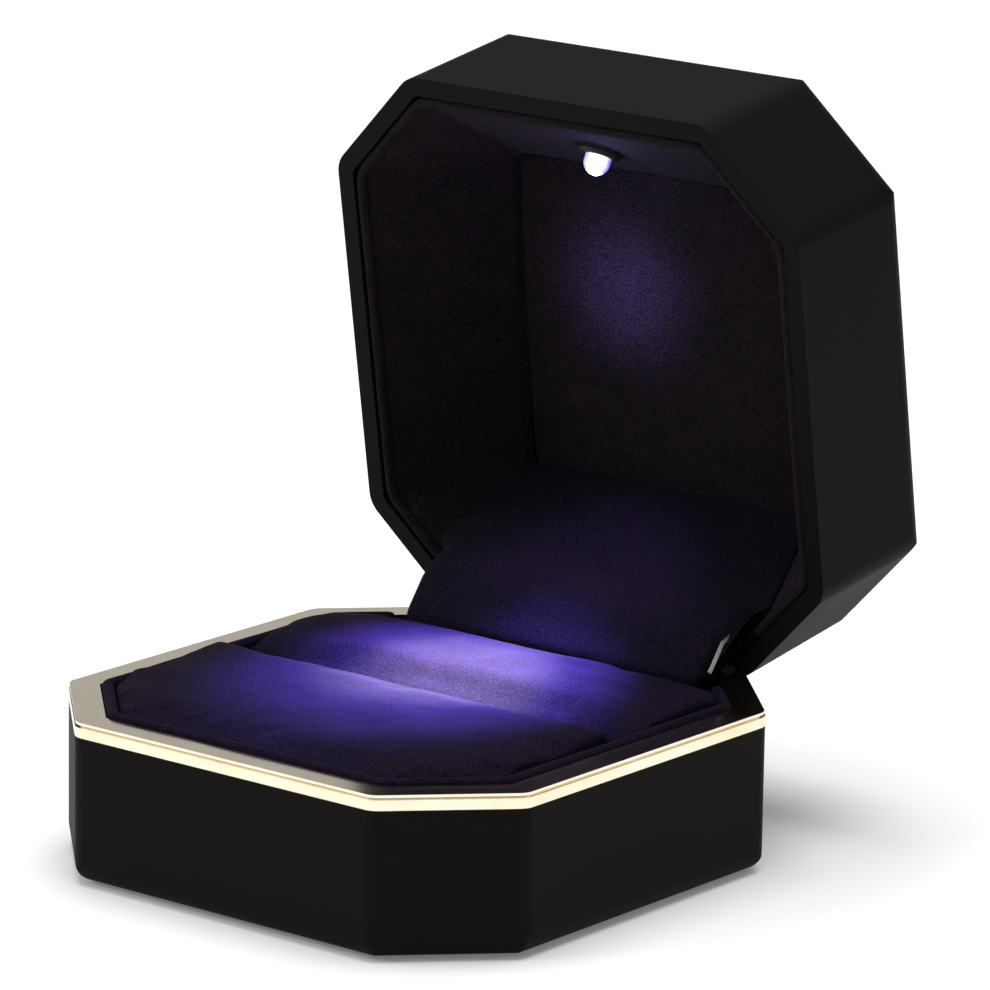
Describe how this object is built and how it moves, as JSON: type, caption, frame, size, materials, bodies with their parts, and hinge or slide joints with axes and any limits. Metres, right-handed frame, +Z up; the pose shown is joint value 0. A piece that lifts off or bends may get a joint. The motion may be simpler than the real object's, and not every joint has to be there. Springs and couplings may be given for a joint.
{
  "type": "lighted ring box",
  "caption": "Octagonal ring box with a hinged lid, gold rim, two velvet cushions gripping a ring between them, and a lamp inside the lid.",
  "frame": {"origin": "middle of the foot that the box stands on", "axes": "+Z up, -Y towards the front of the box, +Y towards the hinge, +X to the right seen from the front"},
  "size_m": [0.065, 0.0841, 0.0844],
  "materials": {
    "black_lacquer": "satin black lacquer",
    "gold_rim": "polished pale gold plate",
    "foot_felt": "flocked foot",
    "velvet": "dark violet-black velvet",
    "card": "black card",
    "steel": "nickel-plated steel",
    "magnet": "nickel plate",
    "lamp_lens": "clear lamp resin",
    "black_plastic": "moulded",
    "circuit_board": "solder mask",
    "switch_glass": "glass tube",
    "contact_brass": "spring brass"
  },
  "bodies": {
    "base": {"base_shell": "black_lacquer", "base_trim": "gold_rim", "foot_pad": "foot_felt", "base_collar": "velvet", "pad_tray": "card", "front_pad": "velvet", "rear_pad": "velvet", "hinge_base_leaf": "steel", "base_leaf_screws": "steel", "hinge_pin": "steel", "switch_magnet": "magnet"},
    "lid": {"lid_shell": "black_lacquer", "lid_collar": "velvet", "lid_liner": "velvet", "lid_back_panel": "velvet", "hinge_cover": "velvet", "cover_plate": "steel", "hinge_lid_leaf": "steel", "lid_leaf_screws": "steel", "led": "lamp_lens", "led_bezel": "black_plastic", "led_board": "circuit_board", "reed_switch": "switch_glass", "cell_holder": "black_plastic", "coin_cell": "magnet", "cell_contact": "contact_brass"}
  },
  "joints": [
    {"name": "lid_hinge", "type": "hinge", "parent": "base", "child": "lid", "pos_m": [0, 0.032, 0.0179], "axis": [1, 0, 0], "range_deg": [0, 81]}
  ]
}
